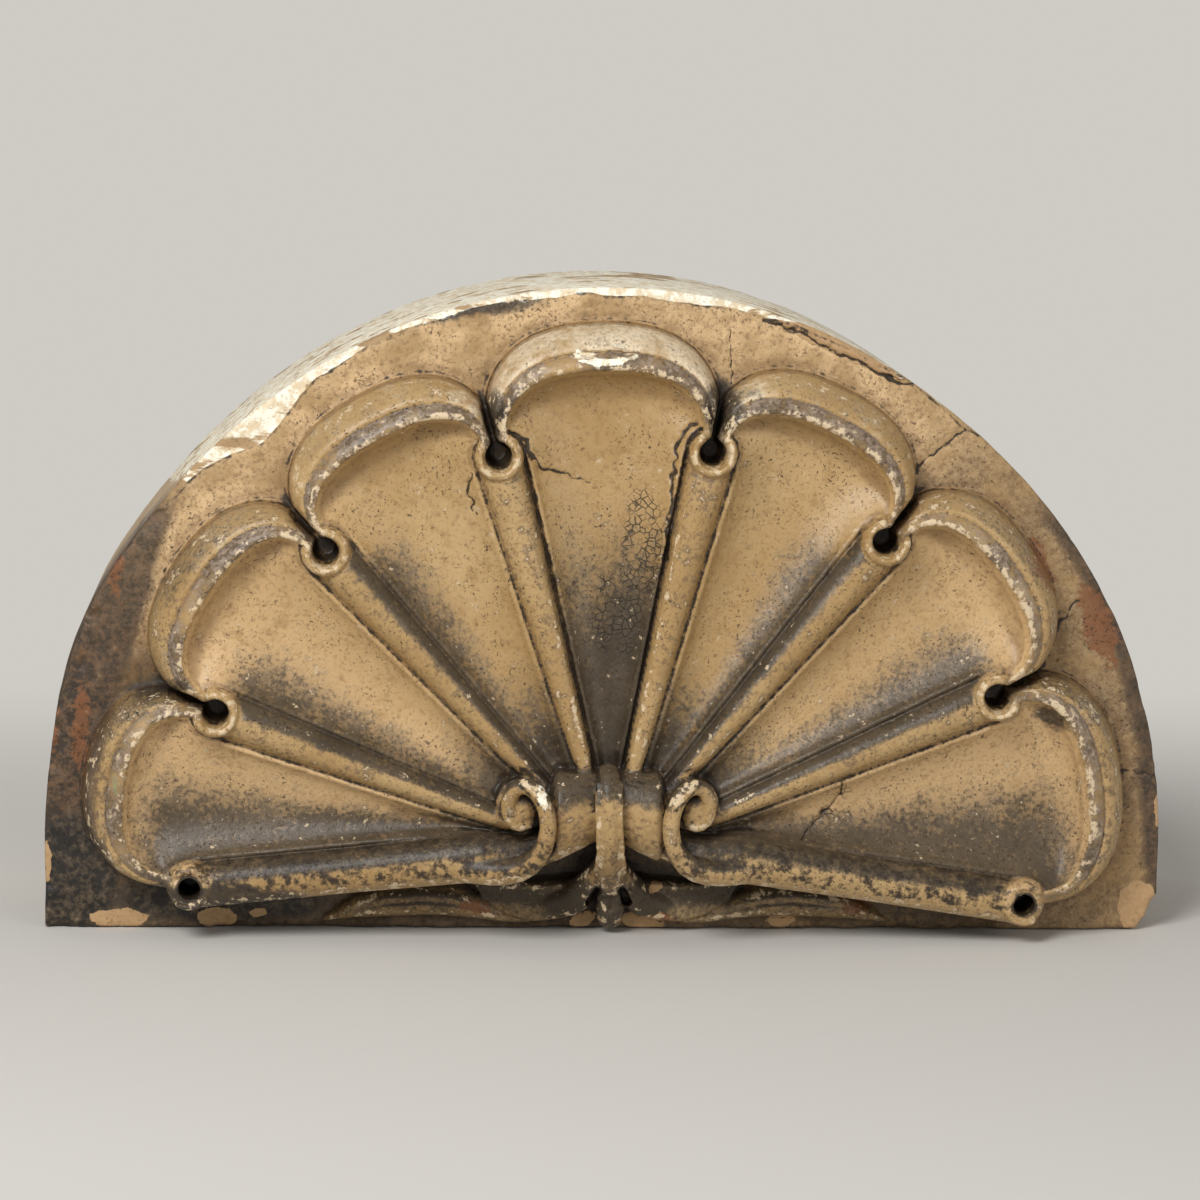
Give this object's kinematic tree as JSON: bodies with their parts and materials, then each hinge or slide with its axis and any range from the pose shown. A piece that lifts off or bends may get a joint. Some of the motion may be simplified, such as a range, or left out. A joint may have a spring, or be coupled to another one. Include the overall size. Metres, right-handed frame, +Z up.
{
  "type": "arch keystone",
  "caption": "Half-round terracotta arch block with a scallop shell in high relief on its face, volutes and scrolls along the foot, flat bed and back.",
  "frame": {"origin": "middle of the flat bed the block stands on, halfway through the block's depth behind the relief", "axes": "+Z up through the crown of the arch, -Y out of the carved face, +Y out of the flat back, +X to the right as one faces the carving"},
  "size_m": [0.6, 0.193, 0.346],
  "materials": {
    "painted_terracotta": "old cream paint over buff terracotta, worn and flaked, with black soot and grime in the hollows"
  },
  "bodies": {
    "root": {"keystone": "painted_terracotta"}
  },
  "joints": []
}
